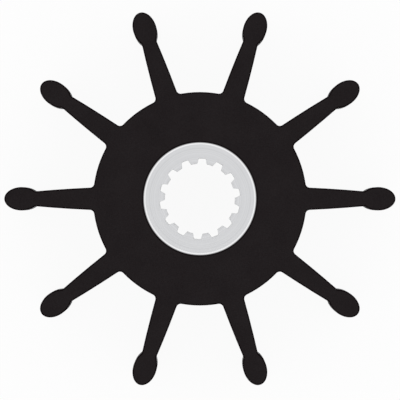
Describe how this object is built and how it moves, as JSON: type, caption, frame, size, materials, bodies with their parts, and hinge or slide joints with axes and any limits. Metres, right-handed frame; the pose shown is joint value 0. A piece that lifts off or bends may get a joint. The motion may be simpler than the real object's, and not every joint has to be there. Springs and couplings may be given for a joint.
{
  "type": "rubber pump impeller",
  "caption": "Flexible pump impeller: a rubber hub with tapered, bead-tipped vanes, moulded around a splined steel insert that drives it from the pump shaft.",
  "frame": {"origin": "on the shaft's axis, in the plane of the end face that the impeller stands on", "axes": "+Z along the shaft's axis, up from the resting face; +X through the tip of one vane"},
  "size_m": [0.096, 0.0914, 0.063],
  "materials": {
    "rubber": "matte moulded black rubber",
    "steel": "satin turned stainless steel, broached spline"
  },
  "bodies": {
    "root": {"rubber_body": "rubber", "spline_insert": "steel"}
  },
  "joints": []
}
